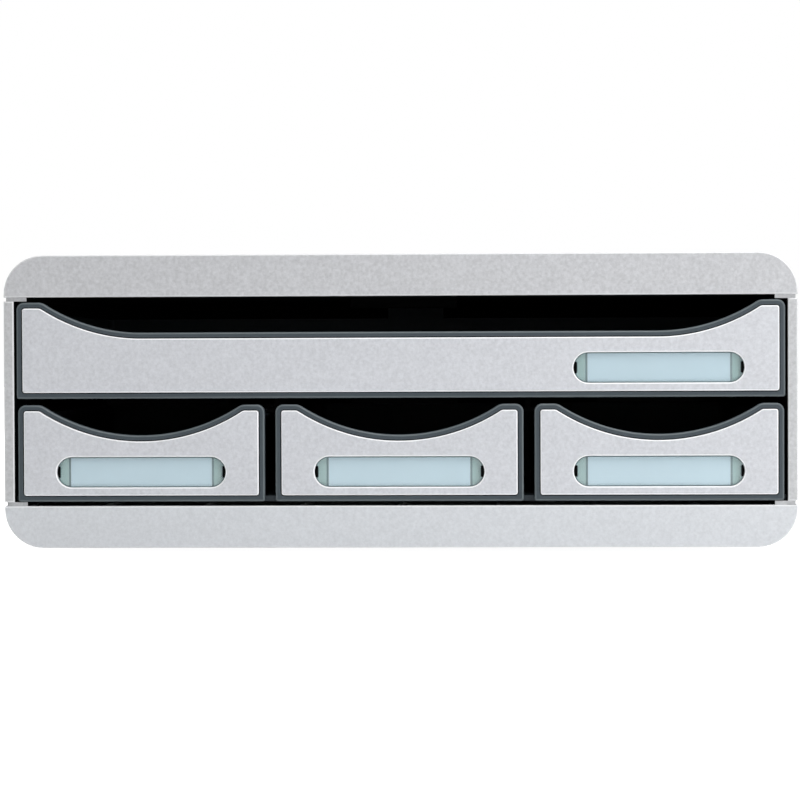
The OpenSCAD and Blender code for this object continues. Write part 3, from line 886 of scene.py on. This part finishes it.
def add_gusset(front, x):
    """A gusset that stands on a tray's lip and slopes up to the back of the catch"""
    size = sizes()
    reach = 0.8 * size.lip_w
    back_y, top_z = front.back_y + reach, front.lip_top + size.gusset
    gusset = add_box(
        "gusset",
        (x - size.lip_t / 2, front.back_y - size.tray_wall / 2, front.lip_top - size.lip_t / 2),
        (x + size.lip_t / 2, back_y, top_z),
    )
    with editing(gusset):
        select(gusset, "EDGE", lambda edge: lies_in(edge, 1, back_y) and lies_in(edge, 2, top_z))
        bpy.ops.transform.translate(value=(0, -reach - size.tray_wall / 4, 0))
    return gusset


def tray_additions(front):
    """Skids under a tray and the stop catch at its back, with two gussets"""
    size = sizes()
    half = front.half - size.tray_inset
    outer = half - size.tray_corner - size.skid_w
    pairs = math.ceil(half / front.small_half)
    parts = []
    for pair in range(pairs):
        for side in (-1, 1):
            x = front.centre_x + side * outer * (1 - pair * 2 / (2 * pairs - 1))
            foot_z = front.base - size.tray_lift + size.run_clear
            low = (x - size.skid_w / 2, front.high.y + size.skid_w, foot_z)
            top_z = front.base + size.tray_wall / 2
            high = (x + size.skid_w / 2, front.back_y - size.tray_corner, top_z)
            parts.append(add_box("skid", low, high))
    left, right = (front.centre_x + side * size.catch_w / 2 for side in (-1, 1))
    low = (left, front.back_y - size.tray_wall, front.lip_top - size.lip_t)
    parts.append(add_box("catch", low, (right, front.back_y, front.catch_top)))
    for side in (-1, 1):
        parts.append(add_gusset(front, front.centre_x + side * size.catch_w / 4))
    return parts


def looks_forward(face, y):
    """Whether a face looks forwards from a place along Y"""
    centre = face.center if isinstance(face, bpy.types.MeshPolygon) else face.calc_center_median()
    return face.normal.y < -LOOKS and near(centre.y, y)


def depth_behind(edge, y):
    """How far the faces at an edge reach behind a place along Y, at their middles"""
    return max(face.calc_center_median().y for face in edge.link_faces) - y


def join_rim(front, tray):
    """Joins the faces of the rim's front into two, which meet at the front's middle line"""

    def divides(edge):
        """Whether an edge lies between two faces of the rim's front, away from the middle line"""
        inside = all(looks_forward(face, front.low.y) for face in edge.link_faces)
        return inside and not lies_in(edge, 0, front.centre_x)

    with editing(tray):
        select(tray, "FACE", lambda face: looks_forward(face, front.low.y))
        bpy.ops.mesh.bisect(plane_co=(front.centre_x, 0, 0), plane_no=(1, 0, 0))
        select(tray, "EDGE", divides)
        bpy.ops.mesh.dissolve_edges(use_verts=False)


def model_tray(front):
    """A tray moulded in one with its rimmed, scooped front. The facing's recess is left open."""
    size = sizes()
    top, recess_top = front.high.z, front.high.z - size.rim_top
    foot, recess_foot = front.low.z, front.low.z + size.rim
    tray = add_box(f"{front.name}_tray_piece", front.low, front.high)
    combine(tray, "UNION", tray_tub(front), *tray_additions(front))
    combine(tray, "DIFFERENCE", front.add_scoop_tool())
    with editing(tray):
        select(tray, "FACE", lambda face: looks_forward(face, front.low.y))
        bpy.ops.mesh.inset(thickness=size.rim)
        faces = bmesh.from_edit_mesh(tray.data).faces
        inner = {vertex.index for face in faces if face.select for vertex in face.verts}
        above = foot + 2 * size.rim
        select(tray, "VERT", lambda vertex: vertex.index in inner and vertex.co.z > above)
        bpy.ops.transform.translate(value=(0, 0, size.rim - size.rim_top))
        select(tray, "FACE", lambda face: looks_forward(face, front.low.y)
               and all(vertex.index in inner for vertex in face.verts))
        extrude(0, size.recess, 0)
    join_rim(front, tray)
    recess_ease = size.scoop_ease - size.rim_top
    ease = math.tan(front.scoop_angle / 2)
    for radius, steps, test in (
        (size.front_corner, 8, lambda edge: front.is_corner(edge, 0.0, top)),
        (size.front_foot, 4, lambda edge: front.is_corner(edge, 0.0, foot)),
        (size.facing_corner, 5, lambda edge: front.is_corner(edge, size.rim, recess_top)
         or front.is_corner(edge, size.rim, recess_foot)),
        (size.scoop_ease * ease, 6, lambda edge: front.is_scoop_corner(edge, top)),
        (recess_ease * ease, 4, lambda edge: front.is_scoop_corner(edge, recess_top)),
    ):
        bevel(tray, radius, test, steps)

    # A rounding's faces end shallow behind the front, the outer sides deep, the recess's in between
    shallow, deep = 0.2 * MM, 0.75 * size.recess
    bevel(tray, size.rim_round, lambda edge: lies_in(edge, 1, front.low.y)
          and depth_behind(edge, front.low.y) > deep, steps=3, highlighted=True)
    bevel(tray, size.recess_round, lambda edge: lies_in(edge, 1, front.low.y)
          and shallow < depth_behind(edge, front.low.y) < deep, steps=2)
    return tray


class DRAWER_UNIT_OT_trays(bpy.types.Operator):
    """Model the four trays with their rimmed, scooped fronts"""

    bl_idname = "drawer_unit.trays"
    bl_label = "Trays"

    def execute(self, context):
        for name in DRAWERS:
            front = Front(name)
            tray = model_tray(front)
            floor_y = front.low.y + sizes().recess
            # Painted shade: the recess floor behind the facing, seen through the label notches, takes the
            # near-black material
            dress(tray, "Slate Plastic", "Inner Black And Shade", lambda face: looks_forward(face, floor_y))
            finish(tray, f"{name}_drawer", "tray_slate", f"{name}_tray")
        return {"FINISHED"}


def add_stadium(name, centre, width, height, low_y, high_y):
    """A box with full-round ends, made by rounding its four edges along Y"""
    x, z = centre
    low = (x - width / 2, low_y, z - height / 2)
    piece = add_box(name, low, (x + width / 2, high_y, z + height / 2))
    with editing(piece):
        select(piece, "EDGE", lambda edge: runs_along(edge, 1))
        bpy.ops.mesh.bevel(offset=height / 2, segments=12, affect="EDGES", clamp_overlap=False)
        select_all()
        bpy.ops.mesh.remove_doubles(threshold=NEAR)
    return piece


class Label:
    """Places of a drawer's label pocket, worked out from its card and window"""

    def __init__(self, name):
        size = sizes()
        window_low, window_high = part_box(f"{name}_label_window")
        self.card_low, self.card_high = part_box(f"{name}_label_card")
        self.centre = ((window_low.x + window_high.x) / 2, (window_low.z + window_high.z) / 2)
        self.length = size.label_l
        self.height = window_high.z - window_low.z + 2 * size.label_clear
        self.floor_y, self.card_y = self.card_high.y, self.card_low.y
        self.front_y = window_low.y

    def notch_tools(self, low_y, high_y):
        """Boxes with rounded inner corners that cut the finger notches at both tips"""
        size = sizes()
        tools = []
        for side in (-1, 1):
            tip = self.centre[0] + side * self.length / 2
            low = (tip - size.notch_d, low_y, self.centre[1] - size.notch_h / 2)
            high = (tip + size.notch_d, high_y, self.centre[1] + size.notch_h / 2)
            tool = add_box("notch_tool", low, high)
            bevel(tool, size.notch_r, lambda edge, inner=tip - side * size.notch_d:
                  runs_along(edge, 1) and near(middle(edge).x, inner), steps=4)
            tools.append(tool)
        return tools

    def has_floor(self, face):
        """Whether a face is the pocket's floor"""
        return near(face.center.y, self.floor_y) and self.holds(face.center)

    def holds(self, place):
        """Whether a place is within the pocket's outline, or on it"""
        reach = 2 * NEAR
        across = abs(place.x - self.centre[0]) < self.length / 2 + reach
        return across and abs(place.z - self.centre[1]) < self.height / 2 + reach


def model_facing(front, label):
    """A facing made from the recess's floor: inset by the gap, thickened, and cut for the label"""
    size = sizes()
    tray = bpy.data.objects[f"{front.name}_tray_piece"]
    floor_y = front.low.y + size.recess
    before = set(bpy.data.objects)
    with editing(tray):
        select(tray, "FACE", lambda face: looks_forward(face, floor_y))
        bpy.ops.mesh.duplicate()
        bpy.ops.mesh.separate(type="SELECTED")
    (facing,) = set(bpy.data.objects) - before
    facing.name = facing.data.name = f"{front.name}_facing_piece"
    with editing(facing):
        select_all()
        bpy.ops.mesh.inset(thickness=size.facing_gap)
        bpy.ops.mesh.select_all(action="INVERT")
        bpy.ops.mesh.delete(type="FACE")
        select_all()
        extrude(0, front.front_y - floor_y, 0)
        select_all()
        bpy.ops.mesh.normals_make_consistent(inside=False)
    outline = (label.centre, label.length, label.height)
    pocket = add_stadium("pocket_tool", *outline, front.front_y - OVERCUT, label.floor_y)
    combine(facing, "DIFFERENCE", pocket)
    for radius, held in ((size.facing_round, False), (size.pocket_round, True)):
        bevel(facing, radius, lambda edge, held=held: lies_in(edge, 1, front.front_y)
              and is_sharp(edge) and label.holds(middle(edge)) == held, steps=3, highlighted=True)
    slots = add_stadium("slot_tool", *outline, label.card_y, floor_y + OVERCUT)
    notches = label.notch_tools(label.card_y - OVERCUT, floor_y + 2 * OVERCUT)
    combine(notches[0], "UNION", notches[1])
    combine(slots, "INTERSECT", notches[0])
    combine(facing, "DIFFERENCE", slots)
    with editing(facing):
        select_all()
        bpy.ops.mesh.dissolve_degenerate(threshold=NEAR)
    return facing


class DRAWER_UNIT_OT_facings(bpy.types.Operator):
    """Model the four facings with their label pockets, from the trays' recesses"""

    bl_idname = "drawer_unit.facings"
    bl_label = "Facings"

    def execute(self, context):
        for name in DRAWERS:
            front, label = Front(name), Label(name)
            facing = model_facing(front, label)
            # The pocket floors take the painted shade
            dress(facing, "Facing Plastic", "Pocket Floor Shade", label.has_floor)
            finish(facing, f"{name}_drawer", "facing_grey", f"{name}_facing")
        return {"FINISHED"}


def model_window(name, label):
    """A clear window with notched tips, and a recess with sloping ends behind it for the card"""
    size = sizes()
    clear, air = 2 * size.label_clear, size.window_air
    recess_y, back_y = label.card_y - air, label.floor_y - air
    window = add_stadium(
        f"{name}_label_window_piece",
        label.centre, label.length - clear, label.height - clear, label.front_y, back_y,
    )
    recess = add_box(
        "recess_tool",
        (label.card_low.x - air, recess_y, label.card_low.z - OVERCUT),
        (label.card_high.x + air, back_y + OVERCUT, label.card_high.z + OVERCUT),
    )
    steepness = (back_y + OVERCUT - recess_y) / (back_y - recess_y)
    spread = 1 + 2 * size.card_clear * steepness / (label.card_high.x - label.card_low.x)
    with editing(recess):
        select(recess, "FACE", lambda face: face.normal.y > LOOKS)
        bpy.ops.transform.resize(value=(spread, 1, 1), center_override=(label.centre[0], 0, 0))
    notches = label.notch_tools(label.front_y - OVERCUT, back_y + OVERCUT)
    combine(window, "DIFFERENCE", recess, *notches)
    bevel(window, size.window_round, lambda edge: lies_in(edge, 1, label.front_y),
          steps=2, highlighted=True)
    return window


class DRAWER_UNIT_OT_labels(bpy.types.Operator):
    """Model the blank cards and the clear windows over them"""

    bl_idname = "drawer_unit.labels"
    bl_label = "Labels"

    def execute(self, context):
        for name in DRAWERS:
            label = Label(name)
            card = add_box(f"{name}_label_card_piece", label.card_low, label.card_high)
            bevel(card, sizes().card_corner, lambda edge: runs_along(edge, 1), steps=3)
            dress(card, "Label Card")
            finish(card, f"{name}_drawer", "label_card", f"{name}_label_card")
            window = model_window(name, label)
            # Painted shade: the window's cut edges take the dark edge material
            dress(window, "Label Window", "Window Edge Shade", lambda face: abs(face.normal.y) < FLAT_SIDE)
            finish(window, f"{name}_drawer", "label_window", f"{name}_label_window")
        return {"FINISHED"}


# Stage


def studio_world():
    """White surroundings, dimmer as a light than they look"""
    world = bpy.data.worlds.new("Studio")
    world.use_nodes = True
    tree = world.node_tree
    dimmed = math_node(tree, "MULTIPLY", seen_directly(tree, 1.0), 1.0 - WORLD_LIGHT)
    strength = math_node(tree, "ADD", dimmed, WORLD_LIGHT)
    feed_all(tree, tree.nodes["Background"].inputs, Color=(1.0, 1.0, 1.0, 1.0), Strength=strength)
    return world


def add_camera():
    """Camera at the height of the unit, a little to the right of its middle"""
    lens = bpy.data.cameras.new("Camera")
    lens.sensor_width, lens.lens = 36.0, CAMERA_LENS
    lens.clip_start, lens.clip_end = 0.05, 100.0
    camera = add_object("Camera", lens)
    yaw = Matrix.Rotation(CAMERA_YAW, 4, "Z")
    pitch = Matrix.Rotation(math.pi / 2 - CAMERA_PITCH, 4, "X")
    roll = Matrix.Rotation(-CAMERA_ROLL, 4, "Z")
    camera.matrix_world = Matrix.Translation(CAMERA_PLACE) @ yaw @ pitch @ roll
    bpy.context.scene.camera = camera


def add_softbox(name, place, target, width, height, power):
    """A rectangular soft light that shines at a target"""
    lamp = bpy.data.lights.new(name, "AREA")
    lamp.shape = "RECTANGLE"
    lamp.size, lamp.size_y, lamp.energy = width, height, power
    turn = (Vector(place) - Vector(target)).to_track_quat("Z", "Y")
    add_object(name, lamp).matrix_world = Matrix.Translation(place) @ turn.to_matrix().to_4x4()


class DRAWER_UNIT_OT_stage(bpy.types.Operator):
    """Set the camera, the pale floor, the white surroundings and the soft lights"""

    bl_idname = "drawer_unit.stage"
    bl_label = "Stage"

    def execute(self, context):
        context.scene.view_settings.view_transform = "Standard"
        context.scene.world = studio_world()
        add_camera()
        pick()
        bpy.ops.mesh.primitive_plane_add(size=FLOOR_SIZE, location=(0, 0, 0))
        floor = context.object
        floor.name = "Floor"
        dress(floor, "Floor")
        for softbox in SOFTBOXES:
            add_softbox(*softbox)
        return {"FINISHED"}


# Panel and registration

OPERATORS = (
    DRAWER_UNIT_OT_covers,
    DRAWER_UNIT_OT_side_panels,
    DRAWER_UNIT_OT_inner_frame,
    DRAWER_UNIT_OT_feet,
    DRAWER_UNIT_OT_trays,
    DRAWER_UNIT_OT_facings,
    DRAWER_UNIT_OT_labels,
    DRAWER_UNIT_OT_stage,
)


class DRAWER_UNIT_PT_panel(bpy.types.Panel):
    """Lists the sizes, the colours and the steps in their order"""

    bl_idname = "DRAWER_UNIT_PT_panel"
    bl_label = "Desktop Mini Drawers"
    bl_space_type = "VIEW_3D"
    bl_region_type = "UI"
    bl_category = "Drawers"

    def draw(self, context):
        for title, group in (("Sizes", sizes()), ("Colours", colours())):
            column = self.layout.column(align=True)
            column.label(text=title)
            for name in type(group).__annotations__:
                column.prop(group, name)
        steps = self.layout.column(align=True)
        steps.label(text="Steps")
        for step in OPERATORS:
            steps.operator(step.bl_idname)


CLASSES = (DrawerUnitSizes, DrawerUnitColours, *OPERATORS, DRAWER_UNIT_PT_panel)


def register():
    """Registers the classes and the properties on the scene"""
    for item in CLASSES:
        bpy.utils.register_class(item)
    bpy.types.Scene.drawer_unit_sizes = PointerProperty(type=DrawerUnitSizes)
    bpy.types.Scene.drawer_unit_colours = PointerProperty(type=DrawerUnitColours)


def unregister():
    """Removes what register added"""
    del bpy.types.Scene.drawer_unit_colours
    del bpy.types.Scene.drawer_unit_sizes
    for item in reversed(CLASSES):
        bpy.utils.unregister_class(item)


def main():
    """Builds the dressed unit"""
    register()
    bpy.ops.drawer_unit.covers()
    bpy.ops.drawer_unit.side_panels()
    bpy.ops.drawer_unit.inner_frame()
    bpy.ops.drawer_unit.feet()
    bpy.ops.drawer_unit.trays()
    bpy.ops.drawer_unit.facings()
    bpy.ops.drawer_unit.labels()
    bpy.ops.drawer_unit.stage()


if __name__ == "__main__":
    main()
